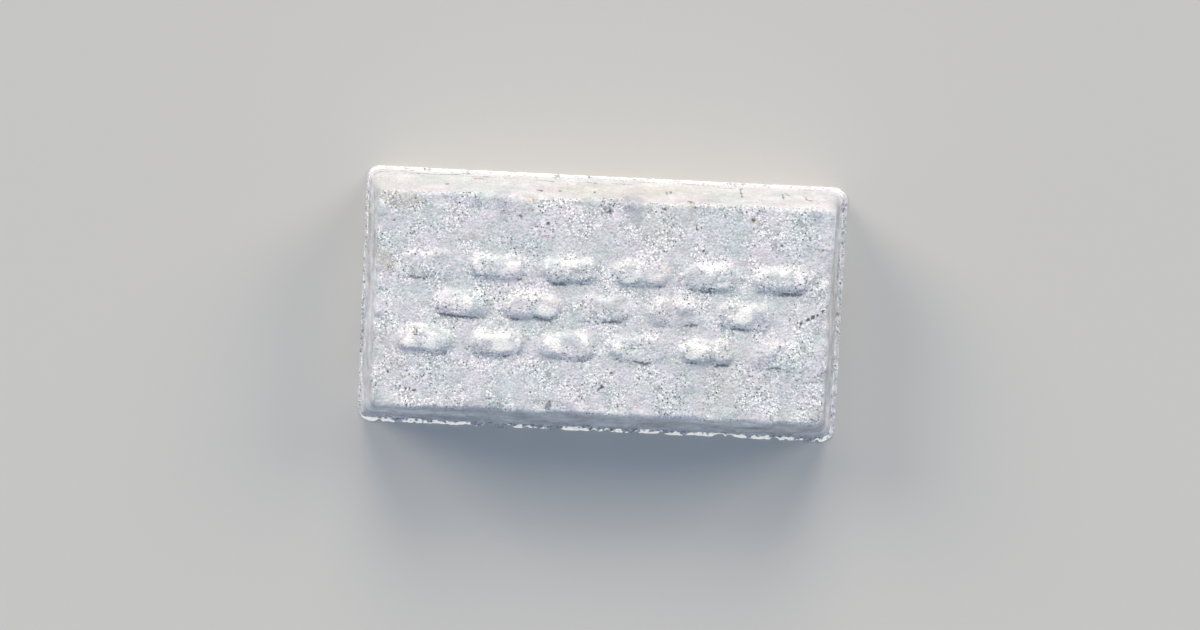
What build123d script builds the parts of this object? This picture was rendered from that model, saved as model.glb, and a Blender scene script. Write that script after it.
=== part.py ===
from build123d import *
import os
from math import radians, tan

# Cast silver bar of about one kilogram, lying on its pour side with its moulded face up.
# One casting: a block drafted on all four sides, a thin flash rim round its foot where
# metal crept over the mould's edge, and raised bars in staggered rows on the face.
# The origin is the middle of the base, +X runs along the bar, +Z points out of the face.
# Lengths are in millimetres and angles in degrees.

# Block
length = 100.0
width = 53.3
height = 21.5
draft_angle = 11.8
corner_radius = 1.9
shoulder_radius = 1.2

# Flash rim, measured out from the block's foot
flash_width = 0.95
flash_thickness = 0.7
flash_edge_radius = 0.3

# Raised bars, measured where they meet the face
bar_length = 11.15
bar_width = 5.2
bar_height = 1.2
bar_root_radius = 0.6
bar_gap = 2.7
row_gap = 2.2

# Bare border between the edge of the face and the field of bars
end_border = 3.0
side_border = 10.0

# Sizes that follow from those above
foot_length = length - 2 * flash_width
foot_width = width - 2 * flash_width
draft_run = height * tan(radians(draft_angle))
face_length = foot_length - 2 * draft_run
face_width = foot_width - 2 * draft_run
bar_pitch = bar_length + bar_gap
row_pitch = bar_width + row_gap
bars_in_full_row = int((face_length - 2 * end_border + bar_gap) // bar_pitch)
row_count = int((face_width - 2 * side_border + row_gap) // row_pitch)
bar_crown_radius = (bar_width**2 / 4 + bar_height**2) / (2 * bar_height)


def drafted_block():
    """The block, narrowing from its foot to its face, with its corners and shoulder rounded."""
    block = extrude(Rectangle(foot_length, foot_width), height, taper=draft_angle)
    corners = block.edges().filter_by(Plane.XY, reverse=True)
    block = fillet(corners, corner_radius)
    shoulder = block.faces().sort_by(Axis.Z)[-1].edges()
    return fillet(shoulder, shoulder_radius)


def flash_rim():
    """The plate of metal round the foot, with its upper lip rounded."""
    outline = RectangleRounded(length, width, corner_radius + flash_width)
    rim = extrude(outline, flash_thickness)
    lip = rim.faces().sort_by(Axis.Z)[-1].edges()
    return fillet(lip, flash_edge_radius)


def raised_bar():
    """The top of a round-ended rod whose crown stands bar_height above the face.

    It reaches as far below the face as it stands above it, so that it fuses with the block.
    """
    straight = bar_length - bar_width
    section = SlotCenterToCenter(straight, 2 * bar_crown_radius)
    half_section = split(section, bisect_by=Plane.XZ)
    rod = revolve(half_section, Axis.X)
    crown = split(rod, bisect_by=Plane.XY.offset(bar_crown_radius - 2 * bar_height))
    return Pos(Z=bar_height - bar_crown_radius) * crown


def bar_places():
    """Middles of the bars on the face: full rows, and between them rows set over by half a pitch."""
    places = []
    for row in range(row_count):
        y = (row - (row_count - 1) / 2) * row_pitch
        bars = bars_in_full_row - row % 2
        for bar in range(bars):
            x = (bar - (bars - 1) / 2) * bar_pitch
            places.append(Pos(x, y, height))
    return places


def ingot():
    """The whole casting, with a root radius where each bar rises from the face."""
    bar = raised_bar()
    casting = drafted_block() + flash_rim() + [place * bar for place in bar_places()]
    face = casting.faces().filter_by(Plane.XY).sort_by(Axis.Z)[-1]
    roots = [edge for wire in face.inner_wires() for edge in wire.edges()]
    return fillet(roots, bar_root_radius)


os.makedirs("parts", exist_ok=True)
solid = ingot().solid()
solid.label = "ingot"
export_step(solid, "parts/ingot.step")
print("bars in a full row", bars_in_full_row, "rows", row_count)
print("face", round(face_length, 2), "by", round(face_width, 2))
print("volume in cubic millimetres", round(solid.volume))
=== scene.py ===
# %% [markdown]
# # A cast silver bar, finished in Blender
# The real thing left its mould as one piece: a block with drafted sides, a thin flash rim round
# its foot and raised bars on its face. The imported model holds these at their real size.
# This lesson gives the block the skin of a casting: soft edges, a ragged rim, grain, pits and dirt.
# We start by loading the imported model. It is a fixed frame, so we only read sizes from it.

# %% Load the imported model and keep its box
from math import cos, hypot, pi, radians, sin, tan

import bmesh
import bpy
from mathutils import Color, Matrix, Vector, geometry, kdtree, noise


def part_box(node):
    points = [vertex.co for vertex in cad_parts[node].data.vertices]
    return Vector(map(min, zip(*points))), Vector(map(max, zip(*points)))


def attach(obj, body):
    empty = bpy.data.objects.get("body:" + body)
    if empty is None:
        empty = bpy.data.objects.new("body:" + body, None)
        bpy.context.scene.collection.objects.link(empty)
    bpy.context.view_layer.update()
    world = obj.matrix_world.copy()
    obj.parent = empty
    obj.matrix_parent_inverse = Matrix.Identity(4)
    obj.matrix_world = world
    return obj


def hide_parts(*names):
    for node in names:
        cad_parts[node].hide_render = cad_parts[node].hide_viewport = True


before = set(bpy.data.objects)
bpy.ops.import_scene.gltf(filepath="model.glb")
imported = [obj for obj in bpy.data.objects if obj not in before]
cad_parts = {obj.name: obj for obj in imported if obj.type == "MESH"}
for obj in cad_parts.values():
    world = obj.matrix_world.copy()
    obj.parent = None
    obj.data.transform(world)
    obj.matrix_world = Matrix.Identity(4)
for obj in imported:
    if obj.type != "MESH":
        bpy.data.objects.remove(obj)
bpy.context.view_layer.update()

mm = 0.001
low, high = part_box("ingot")
size = high - low
print("packed bar in mm:", [round(length / mm, 2) for length in size])

# %% [markdown]
# ## The block
# A sculptor would start with a box and refine it. So do we: a box without an underside, cut into
# quads about a third of a millimetre wide. They are small enough to carry the lumps and pits
# that the eye sees, and few enough to stay light. Cutting the edges of one direction at a time
# keeps every face a clean quad, which a boolean or a voxel remesh of the solid would not do.
# The rim is wider on two sides of the real bar than on the others, so the block is placed by it.

# %% Cut an open box into small quads
rim_left = 0.75 * mm
rim_right = 1.35 * mm
rim_far = 0.65 * mm
rim_near = 1.15 * mm
rim_thickness = 0.7 * mm
bar_height = 1.2 * mm
quad_size = 0.36 * mm
foot = Vector((size.x - rim_left - rim_right, size.y - rim_far - rim_near))
block_middle = Vector(((rim_left - rim_right) / 2, (rim_near - rim_far) / 2, 0))
face_height = size.z - bar_height
block_height = face_height - rim_thickness

casting = bmesh.new()
bmesh.ops.create_cube(casting, size=1)
underside = min(casting.faces, key=lambda face: face.calc_center_median().z)
bmesh.ops.delete(casting, geom=[underside], context="FACES_ONLY")
bmesh.ops.scale(casting, vec=(foot.x, foot.y, block_height), verts=casting.verts)
bmesh.ops.translate(casting, vec=(0, 0, rim_thickness + block_height / 2), verts=casting.verts)
for axis in range(3):
    spans = [
        edge
        for edge in casting.edges
        if abs((edge.verts[0].co - edge.verts[1].co)[axis]) > quad_size
    ]
    cuts = round(spans[0].calc_length() / quad_size) - 1
    bmesh.ops.subdivide_edges(casting, edges=spans, cuts=cuts, use_grid_fill=True)
print("quads in the box:", len(casting.faces))

# %% [markdown]
# ## Rounded edges and draft
# A mould gives a casting round corners, a tighter round shoulder, and sides that lean in so that
# the bar drops out. The Bevel tool could round the edges, but it would leave one wide face on each
# side. With the quads already there we move their vertices instead. Squares of the corner become
# circles, then the shoulder is rolled over an arc, and last each level is drawn in by the draft.

# %% Round the corners, roll the shoulder and lean the sides in
corner_radius = 2.1 * mm
shoulder_radius = 1.1 * mm
draft_angle = radians(11.8)
draft = tan(draft_angle)
core = Vector((foot.x / 2 - corner_radius, foot.y / 2 - corner_radius))


def clamp(value, limit):
    """The value, kept between minus and plus the limit."""
    return max(-limit, min(limit, value))


for vert in casting.verts:
    inner = Vector((clamp(vert.co.x, core.x), clamp(vert.co.y, core.y)))
    spoke = vert.co.xy - inner
    inset = corner_radius - max(abs(spoke.x), abs(spoke.y))
    drop = face_height - vert.co.z
    roll_share = (inset - drop) / shoulder_radius
    if abs(roll_share) < 1:
        angle = (1 + roll_share) * pi / 4
        inset = shoulder_radius * (1 - cos(angle))
        drop = shoulder_radius * (1 - sin(angle))
    level = inner + spoke.normalized() * (corner_radius - inset)
    vert.co = (level.x, level.y, face_height - drop)
    lean = 2 * draft * vert.co.z
    vert.co.x *= 1 - lean / foot.x
    vert.co.y *= 1 - lean / foot.y
top = [vert.co for vert in casting.verts if vert.co.z > face_height - quad_size]
print("face in mm:", [round(2 * max(abs(co[axis]) for co in top) / mm, 1) for axis in range(2)])

# %% [markdown]
# ## The flash rim
# Molten metal creeps over the edge of the mould and freezes as a thin, ragged lip. We extrude
# the open lower edge of the block a few times, so that the rows follow the lip's section.
# A plate laid under the block would be less work, but a seam would show where they meet.
# Noise decides how far the lip reaches at each place: wide runs, thin runs and chips.
# Two helpers make the smooth noise of this lesson, with its spacing written as a real size.
# Each row also notes how rubbed it is and how dark it is drawn, on layers that the finish will read.
# On the near side the bare metal keeps to the outer edge; where the lip isn't bare it is drawn darker,
# least on the far side.

# %% Noise with a real spacing, and a soft step
layer_step = Vector((17.31, 5.73, 11.97))


def ripple(point, spacing, layer):
    """Smooth noise from about -1 to 1 whose waves are about this far apart.

    Each layer is another part of the same endless noise.
    """
    return noise.noise(point / spacing + layer * layer_step)


def waves(point, table):
    """Noises of several spacings, added up; each row is a height, a spacing and a layer."""
    return sum(height * ripple(point, spacing, layer) for height, spacing, layer in table)


def rise(value, start, end):
    """0 below start, 1 above end, and a smooth ramp between them."""
    share = max(0.0, min(1.0, (value - start) / (end - start)))
    return share * share * (3 - 2 * share)


print("soft step at a quarter of its ramp:", round(rise(0.25, 0, 1), 3))

# %% Say how far out and how high the rim goes at each place
turn_ramp = (0, 0.7)
ragged_waves = [(0.3, 7 * mm, 1), (0.3, 2.6 * mm, 2), (0.4, 0.9 * mm, 3)]
chip_waves = [(1.0, 2.1 * mm, 4), (0.4, 0.8 * mm, 30)]
chip_ramp = (0.15, 0.5)
usual_reach_share = 0.92
least_reach_share = 0.1
ragged_share = 0.12
ragged_near_share = 0.23
chip_share = 0.12
chip_near_share = 0.4
usual_lift_share = 0.75
lift_swing_share = 0.3


def foot_line(point):
    """The point of the foot's outline beside this one, and the direction out of the block."""
    inner = Vector((clamp(point.x, core.x), clamp(point.y, core.y), 0))
    outwards = (Vector((point.x, point.y, 0)) - inner).normalized()
    return inner + outwards * corner_radius, outwards


def long_side_shares(outwards):
    """How far this direction points to the near side, and how far to the far side."""
    return rise(-outwards.y, *turn_ramp), rise(outwards.y, *turn_ramp)


def rim_reach(point, outwards):
    """How far the rim reaches out of the foot here."""
    sideways = rim_right if outwards.x > 0 else rim_left
    lengthways = rim_far if outwards.y > 0 else rim_near
    widest = sideways * outwards.x**2 + lengthways * outwards.y**2
    near_share, _ = long_side_shares(outwards)
    ragged = (ragged_share + ragged_near_share * near_share) * waves(point, ragged_waves)
    chipped = (chip_share + chip_near_share * near_share) * rise(waves(point, chip_waves), *chip_ramp)
    return widest * max(least_reach_share, min(1.0, usual_reach_share + ragged - chipped))


def rim_lift(point):
    """How thick the rim is here."""
    return rim_thickness * (usual_lift_share + lift_swing_share * ripple(point, 1.6 * mm, 5))


far_reach = rim_reach(Vector((0, foot.y / 2, 0)), Vector((0, 1, 0)))
print("far rim at its middle in mm:", round(far_reach / mm, 2))

# %% Extrude the lip of the flash rim
layers = casting.verts.layers.float
dirt_and_shade = layers.new("dirt_and_shade")
rub = layers.new("rub")
side = layers.new("side")
glint = layers.new("glint")
# Each row of the lip: how far out and how high it is, and how rubbed on the long sides and ends
lip_row_shares = [
    (0.1, 1.0, 1.0, 0.7),
    (0.28, 0.98, 1.0, 0.4),
    (0.46, 0.97, 1.0, 0.2),
    (0.64, 0.95, 1.0, 0.1),
    (0.82, 0.94, 1.0, 0.1),
    (0.97, 0.7, 1.0, 0.2),
    (1.0, 0.33, 0.6, 0.1),
    (0.94, 0.0, 0.3, 0.0),
]
wander_share = 0.9
outer_share = 0.5
outer_near_share = 0.35
covered_near_share = 0.45
bare_ramp = (-0.1, 0.25)
lip_dark_share = 0.45
far_lip_undarkened_share = 0.8

lip = [edge for edge in casting.edges if edge.is_boundary]
for out_share, up_share, long_rub_share, end_rub_share in lip_row_shares:
    extruded = bmesh.ops.extrude_edge_only(casting, edges=lip)["geom"]
    lip = [part for part in extruded if isinstance(part, bmesh.types.BMEdge) and part.is_boundary]
    for vert in {vert for edge in lip for vert in edge.verts}:
        start, outwards = foot_line(vert.co)
        vert.co = start + outwards * rim_reach(start, outwards) * out_share
        vert.co.z = rim_lift(start) * up_share
        vert[glint] = 1.0
        near_share, far_share = long_side_shares(outwards)
        wander = wander_share * ripple(start, 2.4 * mm, 21) + wander_share * ripple(vert.co, 0.7 * mm, 22)
        near_bareness = near_share * (outer_near_share * out_share - covered_near_share)
        bare_share = rise(outer_share * out_share + wander + near_bareness, *bare_ramp)
        vert[rub] = bare_share * (end_rub_share + (long_rub_share - end_rub_share) * outwards.y**2)
        # Where the lip isn't bare it is drawn darker, and much less so on the far side
        vert[dirt_and_shade] = lip_dark_share * (1 - bare_share) * (1 - far_lip_undarkened_share * far_share)
bmesh.ops.edgeloop_fill(casting, edges=lip)
for edge in lip:
    edge.smooth = False
bmesh.ops.recalc_face_normals(casting, faces=casting.faces)
bmesh.ops.translate(casting, vec=block_middle, verts=casting.verts)
print("edges round the base:", len(lip), "faces now:", len(casting.faces))

# %% [markdown]
# ## The raised bars
# Seventeen round-ended bars stand on the face in three staggered rows. In the metal they are
# soft: the crowns are worn, the outlines waver and the roots melt into the face.
# They could be separate meshes joined by a boolean, but its seams never look cast.
# So each vertex of the face is lifted by a formula: a dome across each bar, with a soft root.

# %% Work out how far each bar lifts the face
bar_length = 11.15 * mm
bar_width = 5.2 * mm
bar_pitch = bar_length + 2.7 * mm
row_pitch = bar_width + 2.2 * mm
bars_in_rows = (6, 5, 6)
dome_power = 3.4
root_softness = 0.26 * mm
outline_wobble = 0.55 * mm
wobble_along = [(1.0, 3.6 * mm, 6), (0.4, 1.4 * mm, 28)]
wobble_across = [(1.0, 3.6 * mm, 7), (0.4, 1.4 * mm, 29)]
usual_crown_share = 0.75
bar_wear_share = 0.9
spot_wear_share = 0.8
least_crown_share = 0.22
most_crown_share = 0.92
# Below each bar's near side the corner gets painted shade; these say how far it reaches
crevice_reach = 1.1 * mm
crevice_ramp = (0.3 * bar_width, 0.5 * bar_width)
bar_places = [
    Vector(((bar - (count - 1) / 2) * bar_pitch, (row - 1) * row_pitch, face_height))
    for row, count in enumerate(bars_in_rows)
    for bar in range(count)
]


def bar_lift(point):
    """How far the bars lift this point of the face, and 1 in the corner below a bar's near side, where
    shade is painted.
    """
    x = point.x + outline_wobble * waves(point, wobble_along)
    y = point.y + outline_wobble * waves(point, wobble_across)
    lift = 0.0
    crevice_share = 0.0
    for middle in bar_places:
        if abs(y - middle.y) > row_pitch or abs(x - middle.x) > bar_pitch:
            continue
        along = clamp(x - middle.x, (bar_length - bar_width) / 2)
        across = hypot(x - middle.x - along, y - middle.y)
        bar_wear = bar_wear_share * ripple(middle, 9 * mm, 8)
        spot_wear = spot_wear_share * ripple(point, 4.5 * mm, 9)
        worn_share = usual_crown_share + bar_wear + spot_wear
        crown = bar_height * max(least_crown_share, min(most_crown_share, worn_share))
        dome = crown * (1 - (2 * across / bar_width) ** dome_power)
        lift = max(lift, (dome + hypot(dome, root_softness)) / 2)
        root_share = 1 - rise(abs(across - bar_width / 2), 0, crevice_reach)
        below_share = rise(middle.y - y, *crevice_ramp)
        crevice_share = max(crevice_share, root_share * below_share)
    return lift, crevice_share


print("bars:", len(bar_places))

# %% Lift the bars out of the face
# The corner below each bar's near side, turned away from the lamps, gets painted shade: a dark colour in
# patches, on the layer that also holds the dirt
painted_crevice_shade_share = 0.66
painted_crevice_shade_ramp = (-0.2, 0.3)
crown_rub_share = 0.53
crown_ramp = (0.4, 0.8)
crown_rub_ramp = (-0.25, 0.4)
face_tolerance = quad_size / 10

for vert in casting.verts:
    if vert.co.z > face_height - face_tolerance:
        lift, crevice_share = bar_lift(vert.co)
        crown_share = rise(lift / bar_height, *crown_ramp)
        shade_patch_share = rise(ripple(vert.co, 4.5 * mm, 20), *painted_crevice_shade_ramp)
        rubbed_share = rise(ripple(vert.co, 3 * mm, 25), *crown_rub_ramp)
        vert[dirt_and_shade] = painted_crevice_shade_share * crevice_share * shade_patch_share
        vert[rub] = crown_rub_share * crown_share * rubbed_share
        vert.co.z += lift
print("highest crown in mm:", round(max(vert.co.z for vert in casting.verts) / mm, 2))

# %% [markdown]
# ## The cast skin
# Metal that froze against a mould is never flat. It swells and sinks over centimetres, it is
# pebbled at about a millimetre, and gas leaves small pits. The mould drew fine lines down the
# sides, crumbs of torn metal stick to them above the rim, and the shoulder has been knocked.
# A Displace modifier could do some of this, but here each vertex also has to know how dirty
# and how rubbed it is, so that the finish can follow the shape. One pass works out all of it.

# %% Find the shoulder and the gas pits
shoulder_reach = 3.0 * mm
pit_spacing = 3.4 * mm
pit_radius_share = 0.17
pit_kept_above = 0.05


def shoulder_share(point):
    """1 on the sharp line where side and face would meet, 0 away from it."""
    lean = draft * point.z
    beside = point - block_middle
    inset = min(foot.x / 2 - lean - abs(beside.x), foot.y / 2 - lean - abs(beside.y))
    return max(0.0, 1 - hypot(inset, face_height - point.z) / shoulder_reach)


def pit_share(point):
    """1 in the middle of a gas pit, 0 outside."""
    distances, centres = noise.voronoi(point / pit_spacing)
    kept = ripple(centres[0] * pit_spacing, 1.3 * mm, 10) > pit_kept_above
    return 1 - rise(distances[0], 0, pit_radius_share) if kept else 0.0


print("vertices in pits:", sum(pit_share(vert.co) > 0 for vert in casting.verts))

# %% Shape the skin and note where it is dirty or rubbed
# Waves of the skin, with heights in mm
swell_waves = [(0.2, 17 * mm, 11), (0.1, 6 * mm, 12)]
pebble_waves = [(0.04, 1.7 * mm, 13), (0.035, 0.95 * mm, 14)]
drag_height = 0.05
# Heights count for little in the noise of the drag lines, so that the lines run down the sides
drag_share = 0.12
knock_waves = [(1.0, 6.5 * mm, 15), (0.5, 2.3 * mm, 18)]
knock_depth = 0.9 * mm
pit_depth = 0.16 * mm
pit_dirt_share = 0.8
# How steep the skin is, and which way it faces, by parts of its normal
steep_ramp = (0.3, 0.8)
level_ramp = (0.55, 0.8)
far_ramp = (0.3, 0.7)
far_edge_ramp = (0.05, 0.25)
far_smooth_share = 0.6
shoulder_ramp = (0, 0.3)
# Low on the sides: dirt, a skirt of metal that runs into the rim, torn crumbs and a line of dirt
broken_waves = [(1.0, 2.8 * mm, 16), (0.5, 0.9 * mm, 17)]
broken_ramp = (-0.15, 0.45)
low_dirt_top = 3.5 * mm
low_dirt_share = 0.45
skirt_height = 3.0 * mm
least_skirt_share = 0.1
skirt_reach_share = 0.25
torn_ramp = (0.1, 0.5)
torn_run_share = 0.7
crumb_top = 7.0 * mm
crumb_size = 0.3 * mm
crumb_rub_share = 0.5
tide_height = 2.6 * mm
tide_swing = 2.4 * mm
tide_reach = 0.8 * mm
tide_ramp = (-0.3, 0.2)
tide_dirt_share = 0.52
dirt_shown_share = 0.4

casting.normal_update()
for vert in casting.verts:
    point = vert.co.copy()
    if point.z < rim_thickness:
        continue
    around = Vector((point.x, point.y, 0))
    start, outwards = foot_line(point - block_middle)
    far_share = rise(vert.normal.y, *far_ramp)
    vert[side] = (1 - rise(vert.normal.z, *steep_ramp)) * (1 - far_smooth_share * far_share)
    shoulder = shoulder_share(point)
    far_edge_share = rise(vert.normal.y, *far_edge_ramp) * rise(shoulder, *shoulder_ramp)
    vert[glint] = rise(vert.normal.z, *level_ramp) * (1 - far_edge_share)

    drawn_out = Vector((point.x, point.y, drag_share * point.z))
    drag = drag_height * vert[side] * ripple(drawn_out, 1.1 * mm, 26)
    relief = (waves(point, swell_waves) + waves(point, pebble_waves) + drag) * mm
    knocked = shoulder * waves(point, knock_waves)
    pit = pit_share(point)
    vert.co += vert.normal * (relief - pit * pit_depth - knocked * knock_depth)
    vert.co.z = min(vert.co.z, high.z)

    skirt_top = rim_thickness + skirt_height * max(least_skirt_share, ripple(around, 2 * mm, 27))
    skirt = 1 - rise(point.z, rim_thickness, skirt_top)
    vert.co += outwards * skirt * skirt_reach_share * rim_reach(start, outwards)
    torn = rise(ripple(point, 0.9 * mm, 31) + torn_run_share * ripple(around, 4 * mm, 32), *torn_ramp)
    crumb = torn * vert[side] * (1 - far_share) * (1 - rise(point.z, rim_thickness, crumb_top))
    vert.co += outwards * crumb * crumb_size
    vert[rub] = max(vert[rub], crumb_rub_share * crumb)

    broken = rise(waves(point, broken_waves), *broken_ramp)
    low_dirt = low_dirt_share * broken * (1 - rise(point.z, rim_thickness, low_dirt_top))
    tide = abs(point.z - tide_height - tide_swing * ripple(around, 8 * mm, 22))
    tide_dirt = tide_dirt_share * (1 - rise(tide, 0, tide_reach))
    tide_dirt *= rise(ripple(around, 5 * mm, 23), *tide_ramp)
    vert[dirt_and_shade] = max(vert[dirt_and_shade], pit_dirt_share * pit, low_dirt, tide_dirt)
print("vertices with dirt that shows:", sum(vert[dirt_and_shade] > dirt_shown_share for vert in casting.verts))

# %% [markdown]
# ## Marks of use
# The bar has a history: specks of dirt, a dotted scratch, a crack in the far side and a few small
# reddish or tan stains. They could be painted on a picture, but a few strokes written as numbers
# are easier to change. Each stroke has two ends, a half-width and a strength.
# On the steep side the strokes run down like drips, so heights count for less there.
# A tree of all vertices finds those beside each stroke, which is much quicker than trying all.

# %% List the marks on the face
# x and y of both ends and half-width in mm, and how strong the mark is as a share
face_marks = {
    "dirt_and_shade": [
        (-0.9, 19.0, 0.6, 19.1, 0.8, 0.45),
        (0.3, 19.1, 0.4, 19.2, 0.35, 0.8),
        (28.3, 18.9, 28.6, 18.8, 0.35, 0.9),
        (0.4, -15.0, 0.4, -15.1, 0.35, 1.0),
        (-0.1, -15.5, -0.5, -16.0, 0.25, 0.7),
        (-38.0, -17.2, -37.9, -17.3, 0.3, 1.0),
        (-37.2, -17.2, -37.2, -17.3, 0.3, 0.9),
        (-36.4, -17.5, -36.2, -17.5, 0.3, 0.9),
        (-10.0, -19.5, -9.7, -18.8, 0.8, 0.56),
        (17.4, 17.1, 17.5, 16.5, 0.22, 0.75),
        (18.3, 17.1, 18.3, 16.9, 0.22, 0.8),
        (19.0, 12.4, 19.0, 12.3, 0.3, 1.0),
        (34.2, 14.1, 34.2, 14.0, 0.3, 0.9),
        (-11.6, 16.4, -11.5, 16.3, 0.35, 0.9),
        (-17.1, 17.6, -17.0, 17.3, 0.4, 0.7),
        (11.0, 20.2, 11.2, 20.1, 0.4, 0.7),
        (-41.5, -14.0, -41.5, -14.1, 0.3, 0.9),
        (-42.5, -5.4, -42.4, -5.6, 0.4, 0.6),
        (2.1, -12.3, 2.1, -12.4, 0.3, 0.8),
        (38.6, -1.2, 38.9, -0.7, 0.3, 0.8),
        (39.9, -0.2, 40.2, 0.0, 0.35, 1.0),
        (41.0, 0.4, 41.1, 0.5, 0.35, 1.0),
        (41.9, 0.8, 42.0, 0.9, 0.3, 1.0),
        (42.8, 1.6, 43.0, 1.8, 0.3, 1.0),
        (37.0, 13.9, 44.2, 13.5, 0.25, 0.5),
        (37.8, 5.6, 44.2, 5.3, 0.25, 0.45),
    ],
    "red": [(-12.6, 13.8, -11.4, 13.7, 0.3, 0.6)],
    "tan": [
        (-42.5, 20.0, -38.0, 19.4, 1.6, 0.45),
        (28.4, 18.8, 29.4, 18.6, 0.7, 0.6),
        (-15.5, 20.8, -14.6, 20.9, 0.9, 0.6),
        (-44.0, 9.5, -42.4, 6.5, 1.6, 0.4),
        (-23.5, 12.8, -28.0, 12.9, 0.7, 0.4),
    ],
}
print("marks on the face:", sum(len(strokes) for strokes in face_marks.values()))

# %% List the marks on the far side
# x and height of both ends and half-width in mm, and how strong the mark is as a share
side_marks = {
    "dirt_and_shade": [
        (-14.2, 14.5, -13.8, 14.8, 0.36, 0.62),
        (-13.3, 15.2, -13.2, 14.2, 0.36, 0.66),
        (-9.7, 14.4, -9.7, 14.2, 0.36, 0.7),
        (-2.8, 15.0, -2.8, 13.0, 0.25, 0.55),
        (-3.2, 5.0, -2.4, 5.5, 0.35, 0.5),
        (11.6, 13.2, 11.7, 10.6, 0.36, 0.62),
        (12.4, 11.5, 12.6, 10.4, 0.36, 0.62),
        (15.8, 19.8, 16.1, 20.6, 0.35, 0.6),
        (27.2, 3.4, 26.8, 12.5, 0.28, 0.62),
        (26.9, 3.6, 27.6, 3.4, 0.3, 0.5),
        (35.2, 12.0, 35.4, 7.5, 0.34, 0.6),
        (36.3, 6.5, 36.7, 8.6, 0.34, 0.6),
        (39.8, 12.0, 39.9, 9.4, 0.34, 0.6),
        (40.4, 12.8, 40.8, 12.5, 0.34, 0.6),
        (-44.0, 4.2, -39.0, 3.4, 0.22, 0.5),
        (-38.0, 3.2, -30.5, 2.6, 0.22, 0.55),
        (-30.0, 3.6, -23.0, 3.0, 0.22, 0.5),
        (-15.0, 4.0, -10.5, 5.4, 0.22, 0.5),
        (-6.5, 5.0, -2.5, 4.4, 0.22, 0.5),
        (0.5, 4.4, 5.0, 5.2, 0.22, 0.5),
    ],
    "red": [(-32.2, 13.6, -32.2, 13.0, 0.4, 1.0), (-27.4, 5.5, -25.6, 5.6, 0.3, 0.7)],
    "tan": [(15.7, 20.0, 16.4, 20.8, 0.6, 0.6), (38.0, 12.0, 41.0, 8.0, 0.8, 0.25)],
    "lilac": [(4.0, 19.6, 5.8, 19.8, 1.2, 0.9), (-21.0, 19.8, -20.2, 20.0, 1.2, 0.6)],
}
print("marks on the far side:", sum(len(strokes) for strokes in side_marks.values()))

# %% Say where a mark lies and how its surface is laid flat
far_foot = block_middle.y + foot.y / 2
drip_share = 0.45


def on_face(x, y):
    """The point of the face at this place along and across the bar."""
    return Vector((x, y, face_height))


def on_far_side(x, height):
    """The point of the far side at this place along the bar and at this height."""
    return Vector((x, far_foot - draft * height, height))


def flat_on_face(point):
    """The point as the face's own plane sees it."""
    return point.xy


def flat_on_far_side(point):
    """The point as the far side's own plane sees it, with heights drawn together."""
    return Vector((point.x, drip_share * point.z))


mark_tables = [
    (face_marks, on_face, flat_on_face),
    (side_marks, on_far_side, flat_on_far_side),
]
marks = [
    (kind, put, flat, *stroke)
    for table, put, flat in mark_tables
    for kind, strokes in table.items()
    for stroke in strokes
]
print("marks in all:", len(marks))

# %% Set the marks into the skin
search_share = 1.5
search_margin = 1.0 * mm
fray_share = 0.5
fray_spacing = 0.8 * mm
fray_ramp = (0.6, 1.3)
kinds = {"dirt_and_shade": dirt_and_shade} | {name: layers.new(name) for name in ("red", "tan", "lilac")}
casting.verts.ensure_lookup_table()
tree = kdtree.KDTree(len(casting.verts))
for vert in casting.verts:
    tree.insert(vert.co, vert.index)
tree.balance()
touched = set()
for kind, put, flat, x_from, y_from, x_to, y_to, half_width, strength_share in marks:
    begin = put(x_from * mm, y_from * mm)
    finish = put(x_to * mm, y_to * mm)
    begin_flat = flat(begin)
    finish_flat = flat(finish)
    layer = kinds[kind]
    reach = (finish - begin).length / 2 + search_share * half_width * mm / drip_share + search_margin
    for point, index, _ in tree.find_range((begin + finish) / 2, reach):
        point_flat = flat(point)
        along_share = geometry.intersect_point_line(point_flat, begin_flat, finish_flat)[1]
        nearest = begin_flat.lerp(finish_flat, max(0.0, min(1.0, along_share)))
        away = (point_flat - nearest).length
        faint = away / (half_width * mm) + fray_share * ripple(point, fray_spacing, 19)
        mark_share = 1 - rise(faint, *fray_ramp)
        vert = casting.verts[index]
        vert[layer] = max(vert[layer], strength_share * mark_share)
        vert[rub] *= 1 - mark_share
        if mark_share > 0:
            touched.add(index)
print("vertices in marks:", len(touched))

# %% [markdown]
# ## The piece
# The mesh becomes one object at the origin, because its place is in its vertices. It rides on
# the root body and takes the place of the imported node, which then isn't shown.

# %% Make the object
mesh = bpy.data.meshes.new("cast_ingot")
for face in casting.faces:
    face.smooth = True
casting.to_mesh(mesh)
casting.free()
ingot = bpy.data.objects.new("cast_ingot", mesh)
bpy.context.scene.collection.objects.link(ingot)
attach(ingot, "root")
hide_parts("ingot")
triangles = sum(len(face.vertices) - 2 for face in mesh.polygons)
print("triangles in the ingot:", triangles)

# %% [markdown]
# ## Helpers for finishes
# Colours are picked as sRGB hex values, as a painter's tool shows them, while shader sockets
# take linear light, so one function converts. A second one adds a node, sets it and links it.
# A third turns a real spacing into a texture's Scale, which counts repeats in a metre.


# %% Colour, node and scale helpers
def linear(code):
    """An sRGB hex code as the linear RGBA that a colour socket takes."""
    channels = [int(code[start:start + 2], 16) / 255 for start in (0, 2, 4)]
    return (*Color(channels).from_srgb_to_scene_linear(), 1.0)


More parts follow.
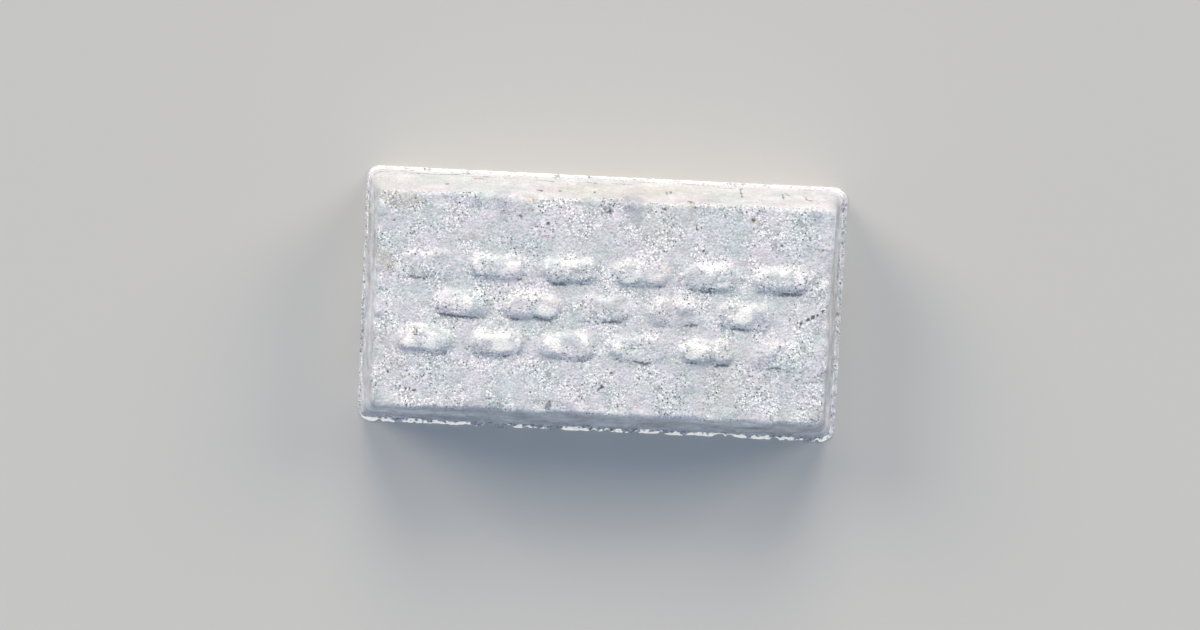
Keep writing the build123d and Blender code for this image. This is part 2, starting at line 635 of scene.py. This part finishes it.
def add_node(tree, kind, inputs=None, **settings):
    """Adds a node with these settings; each input is a value or a socket to link from."""
    node = tree.nodes.new(kind)
    for name, value in settings.items():
        setattr(node, name, value)
    for key, value in (inputs or {}).items():
        if isinstance(value, bpy.types.NodeSocket):
            tree.links.new(value, node.inputs[key])
        else:
            node.inputs[key].default_value = value
    return node


def per_metre(spacing):
    """A texture's Scale for a pattern that repeats at this spacing in metres."""
    return 1 / spacing


print("middle grey in linear light:", round(linear("808080")[0], 3))

# %% [markdown]
# ## Matte cast silver
# Silver that has frozen in a mould isn't a mirror. Its skin is a crust of tiny crystals that
# scatters light like frost: pale grey, with dark pores and with glints, which are painted white
# and partly bare metal. Air has tinted it, lilac in some places and greenish in others. The sides
# are smoother than the face, and clouded. Dirt stays in the corner above the rim, shade is painted
# below the near side of each raised bar, and crowns and lip are rubbed to bare metal.
# Two materials with a mask could do this. One is simpler, with a Metallic that runs from low on
# the crust to full where it is rubbed.

# %% Start the cast silver material and tint it in patches
silver = bpy.data.materials.new("matte_cast_silver")
silver.use_nodes = True
nodes = silver.node_tree
nodes.nodes.clear()
place = add_node(nodes, "ShaderNodeTexCoord").outputs["Object"]
# A Mix node has sockets of the same names for numbers and colours, so these are picked by place
factor = 0
colour_a = 6
colour_b = 7
mixed = 2

tint = linear("E1DEE6")
# Each patch: its spacing and detail, the noise at which it starts and is whole, its share and colour
for spacing, detail, start, whole, strength_share, colour in (
    (7 * mm, 4.0, 0.35, 0.65, 1.0, linear("D0D9DC")),
    (27 * mm, 2.0, 0.5, 0.75, 0.6, linear("D6D2CC")),
):
    patches = add_node(
        nodes, "ShaderNodeTexNoise", {"Vector": place, "Scale": per_metre(spacing), "Detail": detail}
    )
    patch_share = add_node(
        nodes,
        "ShaderNodeMapRange",
        {"Value": patches.outputs["Fac"], "From Min": start, "From Max": whole, "To Max": strength_share},
    )
    tint = add_node(
        nodes,
        "ShaderNodeMix",
        {factor: patch_share.outputs[0], colour_a: tint, colour_b: colour},
        data_type="RGBA",
    ).outputs[mixed]
print("nodes of the tint:", len(nodes.nodes))

# %% Draw the drag lines of the mould down the sides, cloud them and blotch the whole
sides = add_node(nodes, "ShaderNodeAttribute", attribute_name="side").outputs["Fac"]
rough_share = add_node(
    nodes,
    "ShaderNodeMapRange",
    {"Value": sides, "From Max": 0.4, "To Min": 1.0, "To Max": 0.4},
).outputs[0]
drawn_place = add_node(
    nodes, "ShaderNodeMapping", {"Vector": place, "Scale": (1.0, 1.0, drag_share)}
).outputs["Vector"]
# Each shading: its place, spacing and detail, its darkest and lightest share, and where it shows
for pattern_place, spacing, detail, darkest_share, lightest_share, shown in (
    (drawn_place, 1.6 * mm, 5.0, 0.82, 1.14, sides),
    (place, 8 * mm, 5.0, 0.66, 1.26, sides),
    (place, 2.4 * mm, 3.0, 0.9, 1.1, rough_share),
):
    clouds = add_node(
        nodes,
        "ShaderNodeTexNoise",
        {"Vector": pattern_place, "Scale": per_metre(spacing), "Detail": detail},
    )
    shade = add_node(
        nodes,
        "ShaderNodeMapRange",
        {
            "Value": clouds.outputs["Fac"],
            "From Min": 0.3,
            "From Max": 0.7,
            "To Min": darkest_share,
            "To Max": lightest_share,
        },
    )
    tint = add_node(
        nodes,
        "ShaderNodeMix",
        {factor: shown, colour_a: tint, colour_b: shade.outputs[0]},
        data_type="RGBA",
        blend_type="MULTIPLY",
    ).outputs[mixed]
print("nodes with the shading:", len(nodes.nodes))

# %% Speckle it with crystals
# The real crystals are too fine to show, so they are drawn as coarse as they need to be seen
crystal_size = 0.4 * mm
hue_share = 0.07
crystals = add_node(
    nodes, "ShaderNodeTexVoronoi", {"Vector": place, "Scale": per_metre(crystal_size)}
).outputs
crystal_tone = add_node(nodes, "ShaderNodeSeparateColor", {"Color": crystals["Color"]}).outputs
crowd = add_node(
    nodes, "ShaderNodeTexNoise", {"Vector": place, "Scale": per_metre(4.5 * mm), "Detail": 2.0}
)
crowd_share = add_node(
    nodes,
    "ShaderNodeMapRange",
    {"Value": crowd.outputs["Fac"], "From Min": 0.4, "From Max": 0.6, "To Min": 0.3, "To Max": 1.0},
).outputs[0]
crystal_share = add_node(
    nodes, "ShaderNodeMath", {0: crowd_share, 1: rough_share}, operation="MULTIPLY"
).outputs[0]
crystal_shade = add_node(
    nodes, "ShaderNodeMapRange", {"Value": crystal_tone["Red"], "To Min": 0.66, "To Max": 1.32}
).outputs[0]
skin = add_node(
    nodes,
    "ShaderNodeMix",
    {factor: crystal_share, colour_a: tint, colour_b: crystal_shade},
    data_type="RGBA",
    blend_type="MULTIPLY",
).outputs[mixed]
skin = add_node(
    nodes,
    "ShaderNodeMix",
    {factor: hue_share, colour_a: skin, colour_b: crystals["Color"]},
    data_type="RGBA",
).outputs[mixed]
print("crystals along the bar:", round(size.x / crystal_size))

# %% Pick some crystals as dark pores and some as painted white glints
# Glints keep to the face and the rim, because on the lit far edge they would run together
pick_width = 0.2
dots = add_node(
    nodes, "ShaderNodeMapRange", {"Value": crystals["Distance"], "From Min": 0.56, "From Max": 0.36}
).outputs[0]
dot_share = add_node(
    nodes, "ShaderNodeMath", {0: dots, 1: crystal_share}, operation="MULTIPLY"
).outputs[0]
glinting = add_node(nodes, "ShaderNodeAttribute", attribute_name="glint").outputs["Fac"]
glint_dot_share = add_node(
    nodes, "ShaderNodeMath", {0: dot_share, 1: glinting}, operation="MULTIPLY"
).outputs[0]
# Each kind of dot: the random value that picks it, from where on, where it may lie and its colour
# The white glints are painted highlights in the colour; below they are also made partly bare metal
for channel, first_share, lies, colour in (
    ("Green", 0.66, dot_share, linear("5E6268")),
    ("Blue", 0.52, glint_dot_share, linear("FFFFFF")),
):
    picked = add_node(
        nodes,
        "ShaderNodeMapRange",
        {"Value": crystal_tone[channel], "From Min": first_share, "From Max": first_share + pick_width},
    )
    picked_share = add_node(
        nodes, "ShaderNodeMath", {0: picked.outputs[0], 1: lies}, operation="MULTIPLY"
    ).outputs[0]
    skin = add_node(
        nodes,
        "ShaderNodeMix",
        {factor: picked_share, colour_a: skin, colour_b: colour},
        data_type="RGBA",
    ).outputs[mixed]
glint_share = picked_share
print("nodes with the crystals:", len(nodes.nodes))

# %% Rub the high places, dirty the low ones, paint shade below the bars and stain a few
# This layer holds real dirt and also painted shade in the corner below each bar's near side; both take
# these dark colours
dirt_and_shade_amount = add_node(nodes, "ShaderNodeAttribute", attribute_name="dirt_and_shade")
dark_share = add_node(
    nodes, "ShaderNodeMapRange", {"Value": dirt_and_shade_amount.outputs["Fac"], "From Min": 0.4, "From Max": 0.9}
)
dirt_and_shade_colour = add_node(
    nodes,
    "ShaderNodeMix",
    {factor: dark_share.outputs[0], colour_a: linear("83878A"), colour_b: linear("3A3C40")},
    data_type="RGBA",
)
crumbs = add_node(
    nodes, "ShaderNodeTexNoise", {"Vector": place, "Scale": per_metre(0.5 * mm), "Detail": 2.0}
)
crumb_swing = add_node(
    nodes, "ShaderNodeMapRange", {"Value": crumbs.outputs["Fac"], "To Min": -0.5, "To Max": 0.5}
)
cover_shares = {}
# Each cover: its layer, from which strength it shows and is whole, its share and its colour
for name, start_share, whole_share, strength_share, colour in (
    ("rub", 0.2, 0.6, 0.9, linear("F6F5F3")),
    ("tan", 0.0, 1.0, 0.6, linear("BFB09C")),
    ("lilac", 0.0, 1.0, 0.6, linear("A3A8B6")),
    ("dirt_and_shade", 0.35, 0.6, 0.85, dirt_and_shade_colour.outputs[mixed]),
    ("red", 0.3, 0.7, 0.7, linear("C26474")),
):
    source = add_node(nodes, "ShaderNodeAttribute", attribute_name=name)
    crumbled = add_node(nodes, "ShaderNodeMath", {0: source.outputs["Fac"], 1: crumb_swing.outputs[0]})
    cover_shares[name] = add_node(
        nodes,
        "ShaderNodeMapRange",
        {
            "Value": crumbled.outputs[0],
            "From Min": start_share,
            "From Max": whole_share,
            "To Max": strength_share,
        },
    ).outputs[0]
    skin = add_node(
        nodes,
        "ShaderNodeMix",
        {factor: cover_shares[name], colour_a: skin, colour_b: colour},
        data_type="RGBA",
    ).outputs[mixed]
print("covers on the crust:", list(cover_shares))

# %% Grain, gloss and the shader
grain = add_node(
    nodes, "ShaderNodeTexNoise", {"Vector": place, "Scale": per_metre(0.55 * mm), "Detail": 3.0}
)
grain_bump = add_node(
    nodes, "ShaderNodeBump", {"Height": grain.outputs["Fac"], "Distance": 0.15 * mm, "Strength": 1.0}
)
crystal_bump = add_node(
    nodes,
    "ShaderNodeBump",
    {
        "Height": crystals["Distance"],
        "Distance": 0.06 * mm,
        "Strength": 1.0,
        "Normal": grain_bump.outputs["Normal"],
    },
    invert=True,
)
glint_bareness = add_node(nodes, "ShaderNodeMapRange", {"Value": glint_share, "To Max": 0.4})
bare_share = add_node(
    nodes, "ShaderNodeMath", {0: cover_shares["rub"], 1: glint_bareness.outputs[0]}, operation="MAXIMUM"
).outputs[0]
metallic = add_node(nodes, "ShaderNodeMapRange", {"Value": bare_share, "To Min": 0.12, "To Max": 1.0})
roughness = add_node(nodes, "ShaderNodeMapRange", {"Value": bare_share, "To Min": 0.74, "To Max": 0.34})
metal = add_node(
    nodes,
    "ShaderNodeBsdfPrincipled",
    {
        "Base Color": skin,
        "Metallic": metallic.outputs[0],
        "Roughness": roughness.outputs[0],
        "Specular IOR Level": 0.3,
        "Normal": crystal_bump.outputs["Normal"],
    },
)
add_node(nodes, "ShaderNodeOutputMaterial", {"Surface": metal.outputs["BSDF"]})
mesh.materials.append(silver)
print("nodes in the silver:", len(nodes.nodes))

# %% [markdown]
# ## Floor, light and camera
# The bar lies on a plain pale floor. Three broad, warm lamps stand low in an arc beyond the bar's
# far side, so that the far slope and the upper sides of the raised bars light up and the near
# ones fall into shade. A dim cool sky fills the rest. Metal shows what is round it, so
# reflections see a pale backdrop too. One bright lamp would be simpler, but its shadows are hard
# and the pale metal would clip to white.

# %% Floor
floor_half_width = 3.0
floor_mesh = bpy.data.meshes.new("studio_floor")
floor_shape = bmesh.new()
bmesh.ops.create_grid(floor_shape, x_segments=1, y_segments=1, size=floor_half_width)
floor_shape.to_mesh(floor_mesh)
floor_shape.free()
floor = bpy.data.objects.new("studio_floor", floor_mesh)
bpy.context.scene.collection.objects.link(floor)
paper = bpy.data.materials.new("pale_backdrop_paper")
paper.use_nodes = True
paper.node_tree.nodes.clear()
matte = add_node(
    paper.node_tree, "ShaderNodeBsdfPrincipled", {"Base Color": linear("CECDCA"), "Roughness": 0.9}
)
add_node(paper.node_tree, "ShaderNodeOutputMaterial", {"Surface": matte.outputs["BSDF"]})
floor_mesh.materials.append(paper)
print("floor width in m:", 2 * floor_half_width)

# %% Lamps
lamp_elevation = radians(27)
level_share = cos(lamp_elevation)
lamp_spread = radians(30)
lamp_colour = linear("FFF1DE")[:3]
# Each lamp: its turn from straight beyond the bar, and its share of the light on the floor
lamps = [(radians(55), 0.21), (radians(0), 0.22), (radians(-55), 0.15)]
for number, (turn, floor_share) in enumerate(lamps):
    lamp_data = bpy.data.lights.new(f"far_lamp_{number}", "SUN")
    lamp_data.energy = floor_share * pi / sin(lamp_elevation)
    lamp_data.angle = lamp_spread
    lamp_data.color = lamp_colour
    lamp = bpy.data.objects.new(f"far_lamp_{number}", lamp_data)
    to_lamp = Vector((-sin(turn) * level_share, cos(turn) * level_share, sin(lamp_elevation)))
    lamp.rotation_euler = to_lamp.to_track_quat("Z", "Y").to_euler()
    bpy.context.scene.collection.objects.link(lamp)
print("lamps:", len(lamps))

# %% Sky
world = bpy.data.worlds.new("studio_sky")
world.use_nodes = True
sky = world.node_tree
sky.nodes.clear()
fill = add_node(sky, "ShaderNodeBackground", {"Color": linear("CFE4FF"), "Strength": 0.5})
backdrop = add_node(sky, "ShaderNodeBackground", {"Color": linear("F6F8FB"), "Strength": 1.0})
ray = add_node(sky, "ShaderNodeLightPath").outputs
seen = ray["Is Camera Ray"]
for kind in ("Is Glossy Ray", "Is Transmission Ray"):
    seen = add_node(sky, "ShaderNodeMath", {0: seen, 1: ray[kind]}, operation="MAXIMUM").outputs[0]
both = add_node(sky, "ShaderNodeMixShader", {0: seen, 1: fill.outputs[0], 2: backdrop.outputs[0]})
add_node(sky, "ShaderNodeOutputWorld", {"Surface": both.outputs[0]})
bpy.context.scene.world = world
print("nodes in the sky:", len(sky.nodes))

# %% Camera
camera_place = Vector((-5, 16, 350)) * mm
camera_aim = Vector((-0.35, -2.19, 0)) * mm
camera_turn = radians(2.75)
picture_width = 250 * mm
camera_data = bpy.data.cameras.new("photo_camera")
camera = bpy.data.objects.new("photo_camera", camera_data)
ahead = (camera_aim - camera_place).normalized()
right = ahead.cross(Vector((-sin(camera_turn), cos(camera_turn), 0))).normalized()
axes = Matrix((right, right.cross(ahead), -ahead)).transposed()
camera.matrix_world = Matrix.Translation(camera_place) @ axes.to_4x4()
camera_data.lens = camera_data.sensor_width * (camera_aim - camera_place).length / picture_width
camera_data.clip_start = 1 * mm
bpy.context.scene.collection.objects.link(camera)
bpy.context.scene.camera = camera
bpy.context.scene.view_settings.view_transform = "Standard"
print("lens in mm:", round(camera_data.lens, 1))
